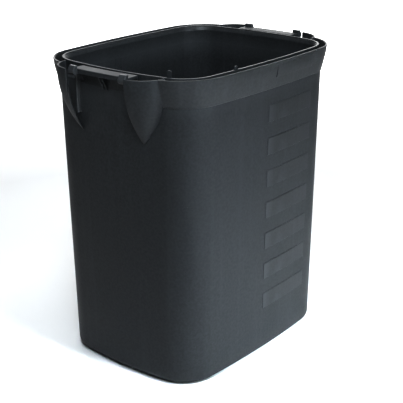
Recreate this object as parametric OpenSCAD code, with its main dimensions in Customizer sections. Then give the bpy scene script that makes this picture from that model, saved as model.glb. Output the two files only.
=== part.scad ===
// Open-topped moulded case of a canister filter.
// X runs along the long side, Y across the depth with the front at -Y, Z is up.
// The origin is the centre of the footprint, on the surface that the feet stand on.

/* [Case] */
// Height of the moulded case, from its underside to the rim
case_h = 270; // [240:1:300]
// Length of the wall at the rim
wall_l = 211.4; // [200:0.2:230]
// Depth of the wall at the rim
wall_d = 168.3; // [150:0.1:180]
// How much shorter the wall is at the underside
taper_l = 4.2; // [0:0.1:10]
// How much less deep the wall is at the underside
taper_d = 10.7; // [0:0.1:16]
// Corner radius at the rim
corner_r = 32.1; // [28:0.1:38]
// Corner radius at the underside
corner_r_low = 33.2; // [28:0.1:38]
// Bow radius of the two long sides
bow_long = 951; // [700:1:1400]
// Bow radius of the two short sides
bow_short = 358; // [300:1:500]
// Wall thickness
wall_t = 3; // [2:0.1:4]
// Wall thickness at the rim, where the inside steps in under the seal lip
wall_t_top = 6; // [5.6:0.1:7]
// Height below the seal rim over which the wall thickens inwards
knee_h = 70; // [40:1:100]
// Floor thickness
floor_t = 4; // [3:0.1:6]
// Outside radius between wall and underside
edge_r = 6.3; // [5:0.1:9]

/* [Rim] */
// Height of the separate seal rim on top of the wall
rim_h = 16; // [14:0.5:18]
// Distance of the seal lip inside the wall's outer line
lip_in = 2.4; // [2:0.1:3]
// Thickness of the seal lip
lip_t = 2; // [1.5:0.1:2.4]
// How far the flared collar stands out from the wall
collar_out = 4.8; // [4:0.1:6]
// Height of the flared collar
collar_h = 23.4; // [20:0.1:28]
// Thickness of the collar's skin
collar_t = 1.4; // [1.2:0.1:1.8]

/* [Latches] */
// Height of a claw, from its tip to the rim
claw_h = 56.5; // [45:0.5:65]
// How far a claw stands out from the wall at the rim
claw_out = 19.3; // [16:0.1:22]
// Width of a claw at the rim
claw_w = 23.8; // [20:0.1:26]
// Distance from the middle of the side to the claws' open edges
claw_in = 32; // [31:0.1:34]
// Thickness of a claw's skin
claw_t = 1.8; // [1.4:0.1:2]
// How far the latch ledge stands out from the wall
ledge_out = 12.2; // [10:0.1:14]
// Thickness of the latch ledge
ledge_t = 2.4; // [2:0.1:3]
// Length of the latch ledge
ledge_l = 60.6; // [50:0.2:60.8]
// Length of a hook along the side
hook_l = 7.4; // [6:0.1:9]
// How far a hook rises above the rim
hook_rise = 2.3; // [1.5:0.1:4]

/* [Relief] */
// Number of plain bars on the front
bar_count = 7; // [4:1:9]
// Width of a front bar
bar_w = 66; // [40:1:68]
// Height of a front bar
bar_h = 15; // [8:1:18]
// How far the bars stand out from the wall
bar_t = 0.4; // [0.3:0.1:1.2]

/* [Feet] */
// Diameter of a foot pad
foot_d = 15; // [10:0.5:20]
// Height of a foot pad below the underside
foot_h = 1.2; // [1:0.1:3]

/* [Hidden] */
$fn = 96;

// Gap kept between pieces that meet on a curved, faceted wall
seat = 0.08;
// Exponent that rounds a claw's cross-section, and the one that draws it in towards its tip
claw_bulge = 2.4;
claw_draw = 0.85;
// Heights of the rim and of the seam between wall and seal rim, above the standing surface
rim_z = foot_h + case_h;
wall_z = rim_z - rim_h;
// Height above which the wall thickens inwards
knee_z = wall_z - knee_h;
// Height of the claws' tips, and of the level where they start to lean in
tip_z = rim_z - claw_h;
lean_z = rim_z - 4;
// Depth of the step inside the seal lip
step_h = 1;
case_color = [0.17, 0.18, 0.19];
trim_color = [0.22, 0.23, 0.24];
rubber_color = [0.08, 0.08, 0.08];

// Steps along a quarter of the outline: short side, corner, long side
quarter = [
    each [for (i = [0:3]) i / 4],
    each [for (i = [0:11]) 1 + i / 12],
    each [for (i = [0:5]) 2 + i / 6]
];
steps = len(quarter);

// --- Outline of the wall: two shallow arcs and a corner arc in each quarter ---

function low(z) = 1 - (z - foot_h) / case_h;
function half_l(z) = (wall_l - taper_l * low(z)) / 2;
function half_d(z) = (wall_d - taper_d * low(z)) / 2;
function corner_at(z) = corner_r + (corner_r_low - corner_r) * low(z);

// Centre of the corner arc, which is tangent to both side arcs
function corner_c(z) =
    let (a = [0, half_d(z) - bow_long], b = [half_l(z) - bow_short, 0],
         ra = bow_long - corner_at(z), rb = bow_short - corner_at(z),
         gap = norm(b - a), along = (ra * ra - rb * rb + gap * gap) / (2 * gap),
         dir = (b - a) / gap)
    a + along * dir + sqrt(ra * ra - along * along) * [dir.y, -dir.x];

// Normal angles at which the corner arc starts and ends
function start_angle(z) = let (c = corner_c(z)) atan2(c.y, c.x - half_l(z) + bow_short);
function end_angle(z) = let (c = corner_c(z)) atan2(c.y - half_d(z) + bow_long, c.x);

function polar(c, r, a) = [c.x + r * cos(a), c.y + r * sin(a)];

// Point of the first quarter: t is 0 to 1 on the short side, 1 to 2 on the corner, 2 to 3 on the long side
function quarter_pt(t, z, off) =
    let (a1 = start_angle(z), a2 = end_angle(z))
    t <= 1 ? polar([half_l(z) - bow_short, 0], bow_short + off, a1 * t)
    : t <= 2 ? polar(corner_c(z), corner_at(z) + off, a1 + (a2 - a1) * (t - 1))
    : polar([0, half_d(z) - bow_long], bow_long + off, a2 + (90 - a2) * (t - 2));

// One closed ring of points, a distance off outside the wall's outer line
function ring(z, off) =
    let (p = [for (t = quarter) quarter_pt(t, z, off)],
         q = [for (i = [steps:-1:1]) quarter_pt(i == steps ? 3 : quarter[i], z, off)])
    [
        each [for (v = p) [v.x, v.y, z]],
        each [for (v = q) [-v.x, v.y, z]],
        each [for (v = p) [-v.x, -v.y, z]],
        each [for (v = q) [v.x, -v.y, z]]
    ];

// Outer line of the short side at a given depth, and of the long side at a given length
function side_x(y, z) =
    let (a = asin(min(1, abs(y) / bow_short)), c = corner_c(z))
    a <= start_angle(z) ? half_l(z) - bow_short + bow_short * cos(a)
    : c.x + sqrt(pow(corner_at(z), 2) - pow(abs(y) - c.y, 2));
function front_y(x, z, off) = -(half_d(z) - bow_long + sqrt(pow(bow_long + off, 2) - x * x));

// --- Solids from grids of points ---

function flat(rows) = [for (r = rows) each r];
function quad(a, b, c, d) = [[c, b, a], [d, c, a]];

// Solid of stacked rings; the first and last ring are closed flat, or joined if torus is true
module ring_stack(rings, torus = false) {
    n = len(rings[0]);
    m = len(rings);
    last = torus ? m - 1 : m - 2;
    sides = [for (i = [0:last], j = [0:n - 1])
        let (k = (j + 1) % n, i2 = (i + 1) % m)
        each quad(i * n + j, i * n + k, i2 * n + k, i2 * n + j)];
    caps = torus ? [] : [[for (j = [0:n - 1]) j], [for (j = [n - 1:-1:0]) (m - 1) * n + j]];
    polyhedron(points = flat(rings), faces = concat(sides, caps), convexity = 6);
}

// Thin solid between an outer and an inner grid of the same size
module skin(outer, inner) {
    rows = len(outer);
    cols = len(outer[0]);
    base = rows * cols;
    face = [for (i = [0:rows - 2], j = [0:cols - 2])
        let (a = i * cols + j)
        each quad(a, a + 1, a + cols + 1, a + cols)];
    back = [for (f = face) [f[2] + base, f[1] + base, f[0] + base]];
    left = [for (i = [0:rows - 2]) let (a = i * cols) each quad(a, a + cols, a + cols + base, a + base)];
    right = [for (i = [0:rows - 2]) let (a = i * cols + cols - 1)
        each quad(a + cols, a, a + base, a + cols + base)];
    head = [for (j = [0:cols - 2]) each quad(j + 1, j, j + base, j + 1 + base)];
    tail = [for (j = [0:cols - 2]) let (a = base - cols + j)
        each quad(a, a + 1, a + 1 + base, a + base)];
    polyhedron(points = concat(flat(outer), flat(inner)),
               faces = concat(face, back, left, right, head, tail), convexity = 6);
}

module at_side(right) {
    mirror([right ? 0 : 1, 0, 0]) children();
}

// --- Tub and rim ---

module tub() {
    inner_r = edge_r - wall_t;
    top = foot_h + floor_t;
    bend = [0:22.5:90];
    color(case_color)
    ring_stack([
        each [for (a = bend) ring(foot_h + edge_r * (1 - cos(a)), -edge_r * (1 - sin(a)))],
        ring(foot_h + case_h / 3, 0),
        ring(foot_h + case_h * 2 / 3, 0),
        ring(wall_z, 0),
        ring(wall_z, -wall_t_top),
        ring(knee_z, -wall_t),
        ring(foot_h + case_h / 3, -wall_t),
        each [for (a = [90:-22.5:0]) ring(top + inner_r * (1 - cos(a)), -wall_t - inner_r * (1 - sin(a)))]
    ]);
}

// The rim carries the head's seal: a thin lip, a small step and a sloped seat inside it
module seal_rim() {
    lip = lip_in + lip_t;
    color(case_color)
    ring_stack([
        ring(wall_z, 0),
        ring(wall_z + 2.5, 0),
        ring(wall_z + 5.5, -lip_in),
        ring(rim_z - 0.4, -lip_in),
        ring(rim_z, -lip_in - 0.4),
        ring(rim_z, -lip + 0.4),
        ring(rim_z - 0.4, -lip),
        ring(rim_z - step_h, -lip),
        ring(rim_z - step_h, -lip - 0.4),
        ring(rim_z - 4, -wall_t_top - 0.2),
        ring(wall_z, -wall_t_top)
    ], torus = true);
}

// --- Claws ---

// Stand-off of a claw's skin at its open edge, and its width, at a given height
function lean(z) = 1 - pow(max(0, (lean_z - z) / (lean_z - tip_z)), 2);
function edge_y(z) = claw_in + 2 * (1 - lean(z));
function claw_wide(z, w) = w * pow(max(0, lean(z)), claw_draw);

// Point of a claw's skin: a runs from 0 at the open edge to 90 where it meets the wall
function claw_pt(z, a, out, w) =
    let (y = edge_y(z) + claw_wide(z, w) * pow(sin(a), 2 / claw_bulge))
    [side_x(y, z) + seat + out * lean(z) * cos(a), y, z];

module claw() {
    rows = 14;
    cols = 12;
    outer = [for (i = [0:rows]) let (z = tip_z + 0.6 + (claw_h - 0.6) * i / rows)
        [for (j = [0:cols]) claw_pt(z, 90 * j / cols, claw_out, claw_w)]];
    inner = [for (i = [0:rows]) let (z = tip_z + 4 + (claw_h - 4) * i / rows)
        [for (j = [0:cols]) claw_pt(z, 90 * j / cols, claw_out - claw_t, claw_w - claw_t)]];
    skin(outer, inner);
}

module claw_at(right, rear) {
    color(case_color) at_side(right) mirror([0, rear ? 0 : 1, 0]) claw();
}

// Upright ribs inside the claws that stiffen the wall behind the latch
module claw_ribs() {
    rib_low = rim_z - 41;
    rib_top = rim_z - 7;
    rib_y = claw_in + 5;
    rib_t = 2;
    rib_out = 4.2;
    gap = 0.2;
    low_x = side_x(rib_y, rib_low);
    top_x = side_x(rib_y, rib_top);
    color(case_color)
    for (right = [false, true], rear = [0, 1])
        at_side(right) mirror([0, rear, 0])
            translate([0, rib_y + rib_t / 2, 0])
                rotate([90, 0, 0])
                    linear_extrude(rib_t)
                        polygon([
                            [low_x + gap, rib_low],
                            [low_x + rib_out, rib_low],
                            [top_x + rib_out, rib_top],
                            [top_x + gap, rib_top]
                        ]);
}

// --- Flared collar along the long sides and round their corners ---

// Profile of the collar's face below its rounded top, as shares of its stand-off and of its height
collar_shape = [[0, 0], [0.1, 0.013], [0.29, 0.17], [0.48, 0.35], [0.67, 0.53], [0.83, 0.71], [0.92, 0.88]];
collar_bevel = 0.3;
collar_face = [
    each [for (p = collar_shape) [collar_out * p.x, collar_h * p.y]],
    [collar_out, collar_h - 0.5],
    [collar_out - collar_bevel, collar_h]
];
collar_back = [
    each [for (p = collar_shape) [max(0, collar_out * p.x - collar_t), collar_h * p.y]],
    [collar_out - collar_t, collar_h - 0.5],
    [collar_out - collar_t + collar_bevel, collar_h]
];

// Stand-off of the collar's face at a height above its lower edge
function face_at(h) = lookup(h, [for (p = collar_face) [p.y, p.x]]);

// The collar stands out further where it runs into a claw
function flare(t) = 1 + 0.5 * max(0, 1 - max(0, t - 1) / 0.45);

// Outline step at which the collar meets the claw's skin, at height z and stand-off off
function collar_start(z, off) =
    let (share = min(1, off / claw_out / lean(z)),
         y = edge_y(z) + claw_wide(z, claw_w) * pow(1 - share * share, 1 / claw_bulge) + 2 * seat,
         a1 = start_angle(z), c = corner_c(z))
    y < (bow_short + off) * sin(a1) ? asin(y / (bow_short + off)) / a1
    : 1 + (asin((y - c.y) / (corner_at(z) + off)) - a1) / (end_angle(z) - a1);

// One row of the collar: k counts from the claw to the middle of the side
function collar_row(k, count, profile) = [for (p = profile)
    let (z = rim_z - collar_h + p.y, t0 = collar_start(z, p.x * 1.5), w = k / count,
         t = w <= 0.6 ? t0 + (2 - t0) * w / 0.6 : 2 + (w - 0.6) / 0.4,
         q = quarter_pt(t, z, p.x * flare(t) + seat))
    [q.x, q.y, z]];

module collar() {
    count = 20;
    function side(profile) = [
        each [for (k = [0:count]) [for (v = collar_row(k, count, profile)) [-v.x, v.y, v.z]]],
        each [for (k = [count - 1:-1:0]) collar_row(k, count, profile)]
    ];
    skin(side(collar_face), side(collar_back));
}

module front_collar() {
    color(case_color) mirror([0, 1, 0]) collar();
}

module rear_collar() {
    color(case_color) collar();
}

// --- Latch ledges, gussets and hooks ---

// Top of the ledge, and thickness and foot of the upright web that carries it
ledge_top = rim_z - 0.3;
web_t = 1.5;
web_z = rim_z - 8;

// Turns a profile of stand-off and height into a bowed strip that follows the short side
module along_side(half, profile) {
    angle = asin(half / bow_short);
    translate([half_l(rim_z) - bow_short, 0, 0])
        rotate([0, 0, -angle])
            rotate_extrude(angle = 2 * angle, $fn = 360)
                translate([bow_short, 0])
                    polygon(profile);
}

module ledge() {
    nose_t = 1.6;
    nose_h = 3.8;
    edge = 0.4;
    along_side(ledge_l / 2, [
        [0, wall_z],
        [web_t, web_z],
        [web_t, ledge_top - ledge_t],
        [ledge_out - nose_t, ledge_top - ledge_t],
        [ledge_out - nose_t, ledge_top - nose_h],
        [ledge_out, ledge_top - nose_h],
        [ledge_out, ledge_top - edge],
        [ledge_out - edge, ledge_top],
        [edge, ledge_top],
        [0, ledge_top - edge]
    ]);
}

module ledge_left() {
    color(case_color) at_side(false) ledge();
}

module ledge_right() {
    color(case_color) at_side(true) ledge();
}

// Two thin webs under the ledge
module gussets() {
    x = half_l(rim_z);
    under = ledge_top - ledge_t;
    web = 1;
    reach = 8;
    for (y = [2.9, 6.9])
        translate([0, y, 0])
            rotate([90, 0, 0])
                linear_extrude(web)
                    polygon([
                        [x + web_t + 0.05, web_z],
                        [x + 0.15, wall_z + 0.6],
                        [x + 0.15, wall_z - 1],
                        [x + 0.8, wall_z - 1],
                        [x + reach, under],
                        [x + web_t + 0.05, under]
                    ]);
}

module gussets_left() {
    color(trim_color) at_side(false) gussets();
}

module gussets_right() {
    color(trim_color) at_side(true) gussets();
}

// Hook on the outer edge of the ledge, with a ramp that the latch rides up
module hook() {
    top = rim_z + hook_rise;
    root = ledge_out + 0.05;
    crown = 2.5;
    reach = 4.9;
    nose_top = rim_z - 1.6;
    nose_low = rim_z - 3.4;
    low = rim_z - 5.5;
    // The hook's middle is this much nearer the middle of the side than the claw's open edge
    inward = 4.2;
    turn = asin((claw_in - inward) / (bow_short + ledge_out));
    translate([half_l(rim_z) - bow_short, 0, 0])
        rotate([0, 0, turn])
            translate([bow_short, hook_l / 2, 0])
                rotate([90, 0, 0])
                    linear_extrude(hook_l)
                        polygon([
                            [root, low],
                            [root, top],
                            [root + crown, top],
                            [root + reach, nose_top],
                            [root + reach, nose_low],
                            [root + crown, low]
                        ]);
}

module hook_at(right, rear) {
    color(trim_color) at_side(right) mirror([0, rear ? 0 : 1, 0]) hook();
}

// --- Small features ---

// Two upright guide ribs inside the rear wall
module rear_guide_ribs() {
    low_z = foot_h + 30;
    low_y = half_d(low_z) - wall_t;
    knee_y = half_d(knee_z) - wall_t;
    top_y = half_d(wall_z) - wall_t_top;
    rib_t = 1;
    // Distances of a rib's back and of its face from the wall
    near = 0.3;
    far = 0.9;
    color(case_color)
    for (x = [-18.5, -11])
        translate([x - rib_t / 2, 0, 0])
            rotate([90, 0, 90])
                linear_extrude(rib_t)
                    polygon([
                        [low_y - near, low_z],
                        [knee_y - near, knee_z],
                        [top_y - near, wall_z],
                        [top_y - far, wall_z],
                        [knee_y - far, knee_z],
                        [low_y - far, low_z]
                    ]);
}

// Round-topped locating tab that stands on the rim's step, against the lip, in the left front corner
module corner_tab() {
    tab_w = 4;
    tab_t = 1.6;
    tab_top = 5.5;
    tab_foot = step_h - 0.1;
    round_r = 3.6;
    // Direction in which the tab faces, from the long axis
    turn = 13;
    c = corner_c(rim_z);
    r = corner_r - lip_in - lip_t - 0.15 - tab_t / 2;
    color(trim_color)
    translate([-c.x - r * cos(turn), -c.y - r * sin(turn), rim_z])
        rotate([90, 0, turn + 90])
            linear_extrude(tab_t, center = true)
                intersection() {
                    translate([0, tab_top - round_r]) circle(r = round_r);
                    translate([-tab_w / 2, -tab_foot]) square([tab_w, tab_foot + tab_top]);
                }
}

// Small tapered peg on the front of the seal lip
module rim_peg() {
    peg_x = 43.2;
    peg_t = 1.6;
    peg_h = 3;
    foot_half = 1.8;
    top_half = 1.2;
    color(trim_color)
    translate([-peg_x, front_y(peg_x, rim_z, 0) + lip_in + lip_t / 2, rim_z])
        rotate([90, 0, 0])
            linear_extrude(peg_t, center = true)
                polygon([[-foot_half, 0], [foot_half, 0], [top_half, peg_h], [-top_half, peg_h]]);
}

// Grid of points on a long side: x from x0 to x1, z from z0 to z1
function front_patch(x0, x1, z0, z1, off, cols) =
    [for (z = [z0, z1]) [for (i = [0:cols]) let (x = x0 + (x1 - x0) * i / cols) [x, front_y(x, z, off), z]]];

// Plain bars on the front, one above the other
module front_bars() {
    bar_x = -2;
    first_z = foot_h + 43;
    column_h = 190;
    pitch = (column_h - bar_h) / (bar_count - 1);
    color(trim_color)
    for (i = [0:bar_count - 1])
        let (z = first_z + i * pitch)
        skin(front_patch(bar_x, bar_x + bar_w, z, z + bar_h, bar_t, 6),
             front_patch(bar_x, bar_x + bar_w, z, z + bar_h, seat, 6));
}

// Plain raised pad on the front of the collar; it thins out towards its top
module collar_badge() {
    x0 = 3;
    x1 = 59;
    cols = 6;
    // Height as a share of the collar's, and thickness
    levels = [[0.42, 0.75], [0.53, 0.8], [0.71, 0.6], [0.88, 0.3]];
    gap = 1.5 * seat;
    function grid(top) = [for (v = levels)
        let (h = collar_h * v[0], z = rim_z - collar_h + h, off = face_at(h) + (top ? v[1] : gap))
        [for (i = [0:cols]) let (x = x0 + (x1 - x0) * i / cols) [x, front_y(x, z, off), z]]];
    color(trim_color)
    skin(grid(true), grid(false));
}

// --- Feet ---

module foot_at(right, rear) {
    foot_x = 72;
    foot_y = 48;
    color(rubber_color)
    translate([(right ? 1 : -1) * foot_x, (rear ? 1 : -1) * foot_y, 0])
        cylinder(h = foot_h, d = foot_d);
}

tub();
seal_rim();
front_collar();
rear_collar();
claw_at(false, false);  // claw_left_front
claw_at(false, true);  // claw_left_rear
claw_at(true, false);  // claw_right_front
claw_at(true, true);  // claw_right_rear
ledge_left();
ledge_right();
gussets_left();
gussets_right();
hook_at(false, false);  // hook_left_front
hook_at(false, true);  // hook_left_rear
hook_at(true, false);  // hook_right_front
hook_at(true, true);  // hook_right_rear
claw_ribs();
rear_guide_ribs();
corner_tab();
rim_peg();
collar_badge();
front_bars();
foot_at(false, false);  // foot_left_front
foot_at(false, true);  // foot_left_rear
foot_at(true, false);  // foot_right_front
foot_at(true, true);  // foot_right_rear
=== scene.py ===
"""Looks for the empty canister filter case: smooth moulded shells, matt charcoal plastic, soft studio light.

Units are metres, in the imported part's frame: +Z up, X along the long side, the front at -Y.
"""
import math

import bmesh
import bpy
from mathutils import Matrix, Vector


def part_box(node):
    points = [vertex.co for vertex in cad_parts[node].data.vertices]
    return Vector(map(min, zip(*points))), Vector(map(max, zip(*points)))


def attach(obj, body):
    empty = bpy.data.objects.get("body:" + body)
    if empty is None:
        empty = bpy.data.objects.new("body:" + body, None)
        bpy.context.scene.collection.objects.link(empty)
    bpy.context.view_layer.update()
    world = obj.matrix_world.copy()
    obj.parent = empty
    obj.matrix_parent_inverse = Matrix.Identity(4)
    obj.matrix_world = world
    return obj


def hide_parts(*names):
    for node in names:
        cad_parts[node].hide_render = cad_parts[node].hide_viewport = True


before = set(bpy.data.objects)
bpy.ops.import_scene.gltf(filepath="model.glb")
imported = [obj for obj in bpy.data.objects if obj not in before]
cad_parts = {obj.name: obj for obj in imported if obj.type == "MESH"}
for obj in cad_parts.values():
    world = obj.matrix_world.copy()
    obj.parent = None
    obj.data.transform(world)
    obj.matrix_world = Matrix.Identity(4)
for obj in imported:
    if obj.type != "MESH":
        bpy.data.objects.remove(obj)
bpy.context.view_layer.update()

# --- Sizes read from the frame ---

TUB_LO, TUB_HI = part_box("tub")
CLAW_LO, CLAW_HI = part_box("claw_right_rear")
BASE_Z = TUB_LO.z
WALL_Z = TUB_HI.z
RIM_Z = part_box("seal_rim")[1].z
COLLAR_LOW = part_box("rear_collar")[0].z
CASE_H = RIM_Z - BASE_Z
MM = 0.001

# --- Shape of the moulding, as in the part ---

TAPER_L = 4.2 * MM        # how much shorter the wall is at the underside
TAPER_D = 10.7 * MM       # how much less deep it is there
CORNER_R = 32.1 * MM      # corner radius at the rim
CORNER_R_LOW = 33.2 * MM  # corner radius at the underside
BOW_LONG = 951 * MM       # bow radius of the long sides
BOW_SHORT = 358 * MM      # bow radius of the short sides
WALL_T = 3 * MM
WALL_T_TOP = 6 * MM       # wall thickness at the rim
KNEE = 70 * MM            # length over which the wall thickens inwards
FLOOR_T = 4 * MM
EDGE_R = 6.3 * MM         # outside radius between wall and underside
LIP_IN = 2.4 * MM         # how far the seal lip stands inside the wall's outer line
LIP_T = 2 * MM
STEP_H = 1 * MM           # depth of the step inside the lip
SEAT = 0.08 * MM          # gap between pieces that meet on the wall
CLAW_T = 1.8 * MM
CLAW_IN = CLAW_LO.y       # distance from the middle of the side to a claw's open edge
CLAW_W = 23.8 * MM
CLAW_BULGE = 2.4          # exponent that rounds a claw's cross-section
CLAW_DRAW = 0.85          # exponent that draws it in towards the tip
CLAW_TIP = CLAW_LO.z - 0.6 * MM
LEAN_Z = RIM_Z - 4 * MM   # the claws lean in below this height

# --- Steps of the meshes and measures of the studio and of the plastic ---

# Steps along a quarter of the outline: short side, corner, long side
SHORT_STEPS = 8
CORNER_STEPS = 26
LONG_STEPS = 12
# Rows up the wall and up a claw, and columns across each face of a claw
WALL_ROWS = 16
CLAW_ROWS = 34
CLAW_COLS = 22
# Columns of half a collar, and how many of them lie on the short side and the corner
COLLAR_COLS = 44
COLLAR_SPLIT = 30

# Studio: radius of the floor, radius from which it glows, height of the far wall
FLOOR_R = 9
FLOOR_NEAR = 0.5
WALL_H = 4

# Noise in the plastic, in waves per metre; the streaks run upwards
GRAIN = 1100
SPECKLE = 480
MOTTLE = 38
WAVE = 14
SPECKS = 120
STREAK = (150, 150, 5)
DUST = (0.16, 0.165, 0.17)


def half_l(z):
    """Half of the wall's length at height z."""
    return TUB_HI.x + TAPER_L / 2 * (z - WALL_Z) / CASE_H


def half_d(z):
    """Half of the wall's depth at height z."""
    return TUB_HI.y + TAPER_D / 2 * (z - WALL_Z) / CASE_H


def corner_at(z):
    return CORNER_R + (CORNER_R_LOW - CORNER_R) * (RIM_Z - z) / CASE_H


def corner_c(z):
    """Centre of the corner arc, which is tangent to both side arcs."""
    a = Vector((0, half_d(z) - BOW_LONG))
    b = Vector((half_l(z) - BOW_SHORT, 0))
    ra, rb = BOW_LONG - corner_at(z), BOW_SHORT - corner_at(z)
    gap = (b - a).length
    along = (ra * ra - rb * rb + gap * gap) / (2 * gap)
    way = (b - a) / gap
    return a + along * way + math.sqrt(ra * ra - along * along) * Vector((way.y, -way.x))


def arc_angles(z):
    """Normal angles at which the corner arc starts and ends."""
    c = corner_c(z)
    return (math.atan2(c.y, c.x - half_l(z) + BOW_SHORT),
            math.atan2(c.y - half_d(z) + BOW_LONG, c.x))


def polar(cx, cy, r, a):
    return cx + r * math.cos(a), cy + r * math.sin(a)


def quarter(t, z, off):
    """Point of the first quarter: t is 0 to 1 on the short side, to 2 on the corner, to 3 on the long."""
    a1, a2 = arc_angles(z)
    if t <= 1:
        return polar(half_l(z) - BOW_SHORT, 0, BOW_SHORT + off, a1 * t)
    if t <= 2:
        c = corner_c(z)
        return polar(c.x, c.y, corner_at(z) + off, a1 + (a2 - a1) * (t - 1))
    return polar(0, half_d(z) - BOW_LONG, BOW_LONG + off, a2 + (math.pi / 2 - a2) * (t - 2))


def stations():
    """The whole outline as (t, x sign, y sign), anticlockwise from the middle of the right end."""
    ts = [i / SHORT_STEPS for i in range(SHORT_STEPS)]
    ts += [1 + i / CORNER_STEPS for i in range(CORNER_STEPS)]
    ts += [2 + i / LONG_STEPS for i in range(LONG_STEPS)]
    back = [3] + ts[:0:-1]
    loop = [(t, 1, 1) for t in ts] + [(t, -1, 1) for t in back]
    return loop + [(t, -1, -1) for t in ts] + [(t, 1, -1) for t in back]


def ring(z, off, scale=1.0):
    """Points of the outline at height z, a distance off outside the wall's outer line."""
    cache = {}
    points = []
    for t, sx, sy in stations():
        if t not in cache:
            cache[t] = quarter(t, z, off)
        x, y = cache[t]
        points.append((sx * x * scale, sy * y * scale, z))
    return points


def side_x(y, z):
    """Outer line of the short side at depth y."""
    c = corner_c(z)
    a = math.asin(min(1, abs(y) / BOW_SHORT))
    if a <= arc_angles(z)[0]:
        return half_l(z) - BOW_SHORT + BOW_SHORT * math.cos(a)
    return c.x + math.sqrt(max(0, corner_at(z) ** 2 - (abs(y) - c.y) ** 2))


def inner_off(z):
    """Wall thickness at height z: it grows smoothly towards the rim."""
    s = min(1, max(0, (z - WALL_Z + KNEE) / KNEE))
    return WALL_T + (WALL_T_TOP - WALL_T) * s


# --- Mesh helpers ---


def piece(name, bm, material, nodes, sharp=35):
    """Turns a bmesh into an object that stands for CAD nodes and rides on the case."""
    bmesh.ops.recalc_face_normals(bm, faces=bm.faces)
    mesh = bpy.data.meshes.new(name)
    bm.to_mesh(mesh)
    bm.free()
    mesh.shade_smooth()
    mesh.set_sharp_from_angle(angle=math.radians(sharp))
    mesh.materials.append(material)
    obj = bpy.data.objects.new(name, mesh)
    bpy.context.scene.collection.objects.link(obj)
    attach(obj, "root")
    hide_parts(*nodes)
    return obj


def loft(rows, loop_rows=False, loop_cols=True):
    """Quads between rows of points; rows and columns can each close into a loop."""
    bm = bmesh.new()
    grid = [[bm.verts.new(p) for p in row] for row in rows]
    n, m = len(grid), len(grid[0])
    for i in range(n if loop_rows else n - 1):
        for j in range(m if loop_cols else m - 1):
            a, b = grid[i], grid[(i + 1) % n]
            k = (j + 1) % m
            bm.faces.new((a[j], a[k], b[k], b[j]))
    return bm, grid


def fan(bm, row, centre):
    """Closes a ring of vertices with triangles to a centre point."""
    hub = bm.verts.new(centre)
    for j, v in enumerate(row):
        bm.faces.new((v, row[(j + 1) % len(row)], hub))


def bend(a, corner, b, steps):
    """Points of a smooth bend from a to b round a corner."""
    out = []
    for i in range(steps + 1):
        s = i / steps
        out.append(tuple((1 - s) ** 2 * p + 2 * s * (1 - s) * q + s * s * r
                         for p, q, r in zip(a, corner, b)))
    return out


def rounded(points, radii, steps=4, guard=0.35 * MM):
    """Closed outline with bends at its corners; a guard point beside each bend keeps flats flat."""
    out = []
    n = len(points)
    for i, p in enumerate(points):
        before, after = Vector(points[i - 1]), Vector(points[(i + 1) % n])
        p = Vector(p)
        r = min(radii[i], 0.45 * (before - p).length, 0.45 * (after - p).length)
        if r <= 0:
            out.append(tuple(p))
            continue
        u, v = (before - p).normalized(), (after - p).normalized()
        if (before - p).length > 2 * (r + guard):
            out.append(tuple(p + u * (r + guard)))
        out += bend(p + u * r, p, p + v * r, steps)
        if (after - p).length > 2 * (r + guard):
            out.append(tuple(p + v * (r + guard)))
    return out


def softened(name, nodes, material, width, segments=3, angle=30):
    """A copy of CAD nodes with their edges rounded, as a moulding's are."""
    bm = bmesh.new()
    for n in nodes:
        bm.from_mesh(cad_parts[n].data)
    bmesh.ops.remove_doubles(bm, verts=bm.verts, dist=1e-6)
    bmesh.ops.dissolve_limit(bm, angle_limit=math.radians(0.6), verts=bm.verts, edges=bm.edges)
    obj = piece(name, bm, material, nodes, sharp=angle)
    bevel = obj.modifiers.new("edges", "BEVEL")
    bevel.width = width
    bevel.segments = segments
    bevel.limit_method = "ANGLE"
    bevel.angle_limit = math.radians(angle)
    bevel.harden_normals = True
    return obj


# --- Materials ---


def nodes_of(name):
    """A new material, its node tree and its shader."""
    mat = bpy.data.materials.new(name)
    mat.use_nodes = True
    tree = mat.node_tree
    return mat, tree, tree.nodes["Principled BSDF"]


def noise(tree, coords, scale, detail=2.0, stretch=None):
    """Noise in the case's own coordinates; stretch scales each axis."""
    n = tree.nodes.new("ShaderNodeTexNoise")
    n.inputs["Scale"].default_value = scale
    n.inputs["Detail"].default_value = detail
    if stretch:
        mapping = tree.nodes.new("ShaderNodeMapping")
        mapping.inputs["Scale"].default_value = stretch
        tree.links.new(coords, mapping.inputs["Vector"])
        coords = mapping.outputs["Vector"]
    tree.links.new(coords, n.inputs["Vector"])
    return n.outputs["Fac"]


def remap(tree, value, lo, hi, to_lo, to_hi):
    m = tree.nodes.new("ShaderNodeMapRange")
    for key, v in zip(("From Min", "From Max", "To Min", "To Max"), (lo, hi, to_lo, to_hi)):
        m.inputs[key].default_value = v
    tree.links.new(value, m.inputs["Value"])
    return m.outputs["Result"]


def mix(tree, factor, a, b):
    """Mixes two colours by a socket; each colour is a socket or an RGB tuple."""
    m = tree.nodes.new("ShaderNodeMix")
    m.data_type = "RGBA"
    tree.links.new(factor, m.inputs[0])
    for socket, c in ((m.inputs[6], a), (m.inputs[7], b)):
        if isinstance(c, tuple):
            socket.default_value = (*c, 1)
        else:
            tree.links.new(c, socket)
    return m.outputs[2]


def bump(tree, height, strength, distance, normal=None):
    b = tree.nodes.new("ShaderNodeBump")
    b.inputs["Strength"].default_value = strength
    b.inputs["Distance"].default_value = distance
    tree.links.new(height, b.inputs["Height"])
    if normal:
        tree.links.new(normal, b.inputs["Normal"])
    return b.outputs["Normal"]


def scaled(colour, share):
    return tuple(share * c for c in colour)


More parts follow.
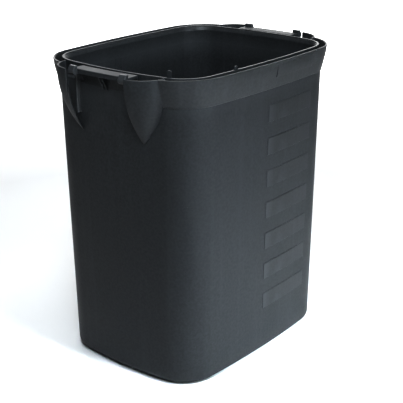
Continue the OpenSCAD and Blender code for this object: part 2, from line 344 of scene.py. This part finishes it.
def moulded(name, dark, light, rough, grain=0.35, spec=0.3):
    """Charcoal moulded plastic: eroded grain, speckle, streaks, mottling, worn edges and a little dust."""
    mat, tree, shader = nodes_of(name)
    coords = tree.nodes.new("ShaderNodeTexCoord").outputs["Object"]
    fine = noise(tree, coords, GRAIN, 3)
    mottle = noise(tree, coords, MOTTLE, 4)
    streak = noise(tree, coords, 1, 3, stretch=STREAK)
    speckle = noise(tree, coords, SPECKLE, 3)
    colour = mix(tree, remap(tree, mottle, 0.3, 0.7, 0, 1), dark, light)
    colour = mix(tree, remap(tree, speckle, 0.35, 0.65, 0.55, 0), colour, scaled(dark, 0.55))
    colour = mix(tree, remap(tree, streak, 0.52, 0.8, 0, 0.35), colour, scaled(light, 1.35))
    edge = tree.nodes.new("ShaderNodeNewGeometry").outputs["Pointiness"]
    colour = mix(tree, remap(tree, edge, 0.52, 0.62, 0, 0.5), colour, scaled(light, 1.9))
    specks = tree.nodes.new("ShaderNodeTexVoronoi")
    specks.inputs["Scale"].default_value = SPECKS
    tree.links.new(coords, specks.inputs["Vector"])
    dust = remap(tree, specks.outputs["Distance"], 0.035, 0.02, 0, 0.5)
    colour = mix(tree, dust, colour, DUST)
    tree.links.new(colour, shader.inputs["Base Color"])
    tree.links.new(remap(tree, mottle, 0.3, 0.7, rough - 0.05, rough + 0.05), shader.inputs["Roughness"])
    shader.inputs["Specular IOR Level"].default_value = spec
    wave = bump(tree, noise(tree, coords, WAVE, 2), 0.25, 0.5 * MM)
    tree.links.new(bump(tree, fine, grain, 0.1 * MM, wave), shader.inputs["Normal"])
    return mat


def rubber():
    """Dull black rubber of the feet."""
    mat, tree, shader = nodes_of("foot_rubber")
    coords = tree.nodes.new("ShaderNodeTexCoord").outputs["Object"]
    grain = noise(tree, coords, 900, 4)
    colour = mix(tree, remap(tree, grain, 0.35, 0.65, 0, 1), (0.012, 0.012, 0.012), (0.03, 0.03, 0.03))
    tree.links.new(colour, shader.inputs["Base Color"])
    tree.links.new(remap(tree, grain, 0.3, 0.7, 0.75, 0.9), shader.inputs["Roughness"])
    tree.links.new(bump(tree, grain, 0.4, 0.1 * MM), shader.inputs["Normal"])
    return mat


def floor_paint(name, glow):
    """White paint; with glow it lights up away from the case."""
    mat, tree, shader = nodes_of(name)
    coords = tree.nodes.new("ShaderNodeTexCoord").outputs["Object"]
    cloud = noise(tree, coords, 3, 2)
    tree.links.new(mix(tree, cloud, (0.86, 0.86, 0.86), (0.9, 0.9, 0.9)), shader.inputs["Base Color"])
    shader.inputs["Roughness"].default_value = 0.9
    shader.inputs["Specular IOR Level"].default_value = 0.1
    if glow:
        shader.inputs["Emission Color"].default_value = (1, 1, 1, 1)
        away = tree.nodes.new("ShaderNodeVectorMath")
        away.operation = "LENGTH"
        tree.links.new(coords, away.inputs[0])
        strength = remap(tree, away.outputs["Value"], FLOOR_NEAR, 2.5 * FLOOR_NEAR, 0, 1)
        tree.links.new(strength, shader.inputs["Emission Strength"])
    return mat


# Dark and light tone of each plastic; the hook tones are the case's made lighter, a painted highlight, and
# the relief tones the case's made darker, painted shade
CASE_TONES = ((0.037, 0.0397, 0.042), (0.0415, 0.0443, 0.047))
COLLAR_TONES = ((0.0395, 0.0422, 0.0445), (0.044, 0.047, 0.0495))
# Hook tones: lighter than the case's, a painted highlight for the light the hooks catch
HOOK_HIGHLIGHT_TONES = ((0.046, 0.049, 0.051), (0.052, 0.055, 0.058))
# Relief tones: darker than the case's, painted shade on the raised bars
RELIEF_SHADE_TONES = ((0.033, 0.0353, 0.0368), (0.037, 0.0395, 0.0415))
BADGE_TONES = ((0.0385, 0.0412, 0.0435), (0.043, 0.046, 0.0485))

CASE = moulded("case_plastic", *CASE_TONES, 0.5)
RIM = moulded("rim_plastic", *CASE_TONES, 0.42, grain=0.2, spec=0.36)
COLLAR = moulded("collar_plastic", *COLLAR_TONES, 0.45, spec=0.38)
# Hook plastic: its lighter colour is a painted highlight
HOOK_PAINTED_HIGHLIGHT = moulded("hook_plastic_painted_highlight", *HOOK_HIGHLIGHT_TONES, 0.36, spec=0.5)
# Relief plastic: its darker colour is painted shade
RELIEF_PAINTED_SHADE = moulded("relief_plastic_painted_shade", *RELIEF_SHADE_TONES, 0.38, grain=0.15)
BADGE = moulded("badge_plastic", *BADGE_TONES, 0.43, grain=0.25, spec=0.38)
RUBBER = rubber()

# --- Tub and rim ---


def arc(start, end, steps):
    """Angles from start to end, given in degrees."""
    return [math.radians(start + (end - start) * i / steps) for i in range(steps + 1)]


def build_tub():
    """Tapered wall and floor in one shell, with a rolled edge to the underside."""
    inner_r = EDGE_R - WALL_T
    top = BASE_Z + FLOOR_T
    bend_top = BASE_Z + EDGE_R
    # Rings that fill the flat floor and underside, as shares of its outline
    shrink = (0.15, 0.4, 0.65, 0.85, 0.97)
    climb = [bend_top + (WALL_Z - bend_top) * i / WALL_ROWS for i in range(1, WALL_ROWS + 1)]
    rows = [ring(BASE_Z, -EDGE_R, s) for s in shrink]
    rows += [ring(bend_top - EDGE_R * math.cos(a), -EDGE_R * (1 - math.sin(a))) for a in arc(0, 90, 8)]
    rows += [ring(z, 0) for z in climb]
    rows += [ring(z, -inner_off(z)) for z in reversed(climb)]
    rows += [ring(top + inner_r * (1 - math.cos(a)), -EDGE_R + inner_r * math.sin(a)) for a in arc(90, 0, 6)]
    rows += [ring(top, -EDGE_R, s) for s in reversed(shrink)]
    bm, grid = loft(rows)
    fan(bm, grid[0], (0, 0, BASE_Z))
    fan(bm, grid[-1], (0, 0, top))
    return piece("tub_shell", bm, CASE, ["tub"])


def build_seal_rim():
    """Rim with a thin seal lip, a small step and a sloped seat below it."""
    lip = LIP_IN + LIP_T
    corners = [(0, WALL_Z), (0, WALL_Z + 2.5 * MM), (-LIP_IN, WALL_Z + 5.5 * MM), (-LIP_IN, RIM_Z),
               (-lip, RIM_Z), (-lip, RIM_Z - STEP_H), (-lip - 0.4 * MM, RIM_Z - STEP_H),
               (-WALL_T_TOP - 0.2 * MM, RIM_Z - 4 * MM), (-WALL_T_TOP, WALL_Z)]
    radii = [0, 0.5 * MM, 0.8 * MM, 0.5 * MM, 0.5 * MM, 0.2 * MM, 0.25 * MM, 0.8 * MM, 0]
    rows = [ring(z, off) for off, z in rounded(corners, radii)]
    bm, _ = loft(rows, loop_rows=True)
    return piece("seal_lip", bm, RIM, ["seal_rim"])


# --- Claws ---


def lean(z):
    """Share of a claw's stand-off that is left at height z."""
    return 1 - max(0, (LEAN_Z - z) / (LEAN_Z - CLAW_TIP)) ** 2


def edge_y(z):
    """Depth at which a claw's open edge stands at height z."""
    return CLAW_IN + 2 * MM * (1 - lean(z))


def claw_wide(z, w):
    return w * max(0, lean(z)) ** CLAW_DRAW


CLAW_OUT = CLAW_HI.x - side_x(CLAW_IN, RIM_Z) - SEAT


def claw_point(z, u, out, w):
    """Point of a claw's skin at u, the share of its width from the open edge to the wall."""
    y = edge_y(z) + claw_wide(z, w) * u
    cos = math.sqrt(max(0, 1 - u ** CLAW_BULGE))
    return side_x(y, z) + SEAT + out * max(0, lean(z)) * cos, y


def claw_section(z, inset):
    """Closed plan outline of the claw's skin at height z, with a round open edge."""
    w_out, w_in = CLAW_W - inset, CLAW_W - CLAW_T + inset
    out, inner = CLAW_OUT - inset, CLAW_OUT - CLAW_T + inset
    r = min(0.6 * MM, 0.15 * claw_wide(z, CLAW_W))
    r_out = min(r, 0.3 * CLAW_T)

    def side(o, w):
        start = math.asin(math.sqrt(r / max(claw_wide(z, w), 1e-6)))
        angles = [start + (math.pi / 2 - start) * i / CLAW_COLS for i in range(CLAW_COLS + 1)]
        return [claw_point(z, math.sin(a) ** 2, o, w) for a in angles]

    outer, back = side(out, w_out), side(inner, w_in)
    y0 = edge_y(z) + inset
    a = (claw_point(z, 0, out, w_out)[0], y0)
    b = (claw_point(z, 0, inner, w_in)[0], y0)
    gap = min(r_out, 0.4 * (a[0] - b[0]))
    loop = list(reversed(outer)) + bend(outer[0], a, (a[0] - gap, y0), 4)[1:]
    loop += bend((b[0] + gap, y0), b, back[0], 4)[:-1] + back
    return [(x, y, z) for x, y in loop]


def build_claw(name, node, sx, sy):
    """Hollow pointed claw beside a latch, open towards the latch."""
    lip = 0.5 * MM
    low = CLAW_LO.z
    # Rows stand a little closer towards the tip
    levels = [low + (RIM_Z - lip - low) * (i / CLAW_ROWS) ** 1.15 for i in range(CLAW_ROWS)]
    rows = [claw_section(z, 0) for z in levels]
    rows += [claw_section(RIM_Z - lip + lip * math.sin(a), lip * (1 - math.cos(a))) for a in arc(0, 90, 4)]
    rows = [[(sx * x, sy * y, z) for x, y, z in row] for row in rows]
    bm, grid = loft(rows, loop_cols=False)
    for end in (grid[0], grid[-1]):
        half = len(end) // 2
        for j in range(half - 1):
            bm.faces.new((end[j], end[j + 1], end[-2 - j], end[-1 - j]))
    for i in range(len(grid) - 1):
        bm.faces.new((grid[i][0], grid[i][-1], grid[i + 1][-1], grid[i + 1][0]))
    return piece(name, bm, CASE, [node])


# --- Collar ---


def flare(t):
    """The collar stands out further where it runs into a claw."""
    return 1 + 0.5 * max(0, 1 - max(0, t - 1) / 0.45)


def collar_start(z, off):
    """Outline step at which the collar meets the claw's skin."""
    share = min(1, off / CLAW_OUT / max(lean(z), 1e-6))
    y = edge_y(z) + claw_wide(z, CLAW_W) * (1 - share * share) ** (1 / CLAW_BULGE) + 0.15 * MM
    a1, a2 = arc_angles(z)
    c = corner_c(z)
    if y < (BOW_SHORT + off) * math.sin(a1):
        return math.asin(y / (BOW_SHORT + off)) / a1
    return 1 + (math.asin((y - c.y) / (corner_at(z) + off)) - a1) / (a2 - a1)


def collar_profile():
    """Closed profile of the collar as (stand-off, height): a crisp lower edge and a rounded lip."""
    face = [(0, 0), (0.5, 0.3), (1.4, 4), (2.3, 8.2), (3.2, 12.4), (4, 16.6), (4.4, 20.6), (4.8, 23.4)]
    back = [(3.4, 23.4), (3, 20.6), (2.6, 16.6), (1.8, 12.4), (0.9, 8.2), (0, 4), (0, 2.4)]
    corners = [(x * MM, COLLAR_LOW + y * MM) for x, y in face + back]
    radii = [0, 0.15, 1.5, 1.5, 1.5, 1.5, 1.2, 0.45, 0.45, 1.2, 1.5, 1.5, 1.5, 1.0, 0.5]
    return rounded(corners, [r * MM for r in radii], steps=3)


def collar_column(k, profile, sy):
    """One column of the collar's skin: k counts from the claw to the middle of the side."""
    points = []
    for off, z in profile:
        t0 = collar_start(z, off * 1.5)
        if k <= COLLAR_SPLIT:
            t = t0 + (2 - t0) * k / COLLAR_SPLIT
        else:
            t = 2 + (k - COLLAR_SPLIT) / (COLLAR_COLS - COLLAR_SPLIT)
        x, y = quarter(t, z, off * flare(t) + SEAT)
        points.append((x, sy * y, z))
    return points


def build_collar(name, node, sy):
    """Flared collar along a long side and round its corners, up to the claws."""
    profile = collar_profile()
    columns = [collar_column(k, profile, sy) for k in range(COLLAR_COLS + 1)]
    left = [[(-x, y, z) for x, y, z in c] for c in columns]
    bm, grid = loft(left + columns[-2::-1])
    for end in (grid[0], grid[-1]):
        bm.faces.new(end)
    return piece(name, bm, COLLAR, [node])


# --- The studio ---


WHITE = (1, 1, 1)
COOL = (0.84, 0.93, 1)


def add_light(light, place, aim, watts, colour):
    """Puts a light in the studio; the camera doesn't see it."""
    light.energy = watts
    light.color = colour
    obj = bpy.data.objects.new(light.name, light)
    bpy.context.scene.collection.objects.link(obj)
    obj.location = place
    obj.rotation_euler = (Vector(aim) - Vector(place)).to_track_quat("-Z", "Y").to_euler()
    obj.visible_camera = False
    return obj


def soft_box(name, place, aim, size, size_y, watts, colour=WHITE, spread=180):
    light = bpy.data.lights.new(name, "AREA")
    light.shape = "RECTANGLE"
    light.size, light.size_y = size, size_y
    light.spread = math.radians(spread)
    return add_light(light, place, aim, watts, colour)


def small_spot(name, place, aim, angle, watts, colour=WHITE):
    light = bpy.data.lights.new(name, "SPOT")
    light.spot_size = math.radians(angle)
    light.spot_blend = 0.8
    light.shadow_soft_size = 0.02
    return add_light(light, place, aim, watts, colour)


def stage_piece(name, material, radii, heights):
    """Ring of the studio between two radii and two heights."""
    steps = 96
    turns = [2 * math.pi * k / steps for k in range(steps)]
    rows = [[(*polar(0, 0, r, a), z) for a in turns] for r, z in zip(radii, heights)]
    bm, _ = loft(rows)
    mesh = bpy.data.meshes.new(name)
    bm.to_mesh(mesh)
    bm.free()
    mesh.materials.append(material)
    obj = bpy.data.objects.new(name, mesh)
    bpy.context.scene.collection.objects.link(obj)
    return obj


def build_studio():
    """White floor, soft boxes above, in front and behind, and a dim room."""
    scene = bpy.context.scene
    world = bpy.data.worlds.new("studio")
    world.use_nodes = True
    background = world.node_tree.nodes["Background"]
    background.inputs["Color"].default_value = (0.93, 0.96, 1, 1)
    background.inputs["Strength"].default_value = 0.03
    scene.world = world
    scene.view_settings.view_transform = "Standard"
    scene.view_settings.look = "None"
    # A print-like contrast: whites stay, dark tones deepen
    scene.view_settings.gamma = 0.68

    stage_piece("floor", floor_paint("studio_floor", False), [0.001, FLOOR_R], [0, 0])
    # The far floor and wall stay white for the camera, and cast no light on the case
    far = floor_paint("studio_far", True)
    for backdrop in (stage_piece("far_floor", far, [FLOOR_NEAR, FLOOR_R], [MM, MM]),
                     stage_piece("far_wall", far, [FLOOR_R, FLOOR_R], [0, WALL_H])):
        backdrop.visible_diffuse = False
        backdrop.visible_glossy = False
        backdrop.visible_shadow = False

    centre = (0, 0, RIM_Z / 2)
    rim = (0, 0, RIM_Z)
    soft_box("top_box", (0, 0, 1.3), (0, 0, 0), 0.9, 0.9, 14)
    soft_box("front_box", (0.1, -1.6, 0.8), centre, 0.8, 0.8, 17.5, COOL)
    soft_box("corner_box", (-0.7, -1.5, 1.1), centre, 0.8, 0.8, 1.2, COOL)
    soft_box("floor_pool", (0, -1.3, 1.2), (0.02, -0.42, 0), 0.25, 0.2, 3.1, COOL, spread=30)
    soft_box("inside_box", (-0.5, -0.35, 0.75), (0.05, 0.05, 0.15), 0.3, 0.3, 0.8, COOL, spread=60)
    soft_box("back_box", (2.1, 1.725, 0.765), rim, 3.0, 1.2, 42)
    soft_box("right_box", (2.6, 0.9, 0.765), rim, 2.0, 1.2, 12.5)
    pocket = (CLAW_LO.x * -1.1, CLAW_IN + 10 * MM, CLAW_LO.z + 25 * MM)
    small_spot("pocket_spot", (-0.6, -0.55, 0.25), pocket, 3.2, 32)


def build_camera():
    """Camera at the photograph's angle: a long lens, a little above the rim, off the left front corner."""
    az, el, roll = math.radians(-50.12), math.radians(19.75), math.radians(-0.407)
    distance = 0.9204
    aim_right, aim_up = 5.95 * MM, -7.18 * MM
    centre = Vector((0, 0, BASE_Z + CASE_H / 2))
    back = Vector((math.sin(az) * math.cos(el), -math.cos(az) * math.cos(el), math.sin(el)))
    place = centre + back * distance
    right = (-back).cross(Vector((0, 0, 1))).normalized()
    aim = centre + right * aim_right + right.cross(-back) * aim_up
    forward = (aim - place).normalized()
    right = forward.cross(Vector((0, 0, 1))).normalized()
    up = right.cross(forward)
    across = right * math.cos(roll) + up * math.sin(roll)
    upward = up * math.cos(roll) - right * math.sin(roll)
    rows = (across, upward, -forward)
    cam = bpy.data.cameras.new("camera")
    cam.lens = 89.09
    cam.sensor_width = 36
    cam.clip_end = 50
    obj = bpy.data.objects.new("camera", cam)
    bpy.context.scene.collection.objects.link(obj)
    obj.matrix_world = Matrix.Translation(place) @ Matrix(rows).transposed().to_4x4()
    bpy.context.scene.camera = obj


build_tub()
build_seal_rim()
for end, sx in (("left", -1), ("right", 1)):
    for side, sy in (("front", -1), ("rear", 1)):
        build_claw(f"claw_shell_{end}_{side}", f"claw_{end}_{side}", sx, sy)
        softened(f"latch_hook_{end}_{side}", [f"hook_{end}_{side}"], HOOK_PAINTED_HIGHLIGHT, 0.45 * MM)
        softened(f"foot_pad_{end}_{side}", [f"foot_{end}_{side}"], RUBBER, 0.4 * MM)
    softened(f"latch_ledge_{end}", [f"ledge_{end}"], CASE, 0.4 * MM, angle=20)
    softened(f"webs_{end}", [f"gussets_{end}"], CASE, 0.15 * MM, segments=2)
for side, sy in (("front", -1), ("rear", 1)):
    build_collar(f"collar_{side}", f"{side}_collar", sy)
softened("claw_webs", ["claw_ribs"], CASE, 0.3 * MM)
softened("guide_ribs", ["rear_guide_ribs"], CASE, 0.2 * MM)
softened("locating_tab", ["corner_tab"], CASE, 0.3 * MM)
softened("locating_peg", ["rim_peg"], CASE, 0.15 * MM)
softened("front_bar_relief", ["front_bars"], RELIEF_PAINTED_SHADE, 0.25 * MM)
softened("collar_pad", ["collar_badge"], BADGE, 0.15 * MM)
build_studio()
build_camera()
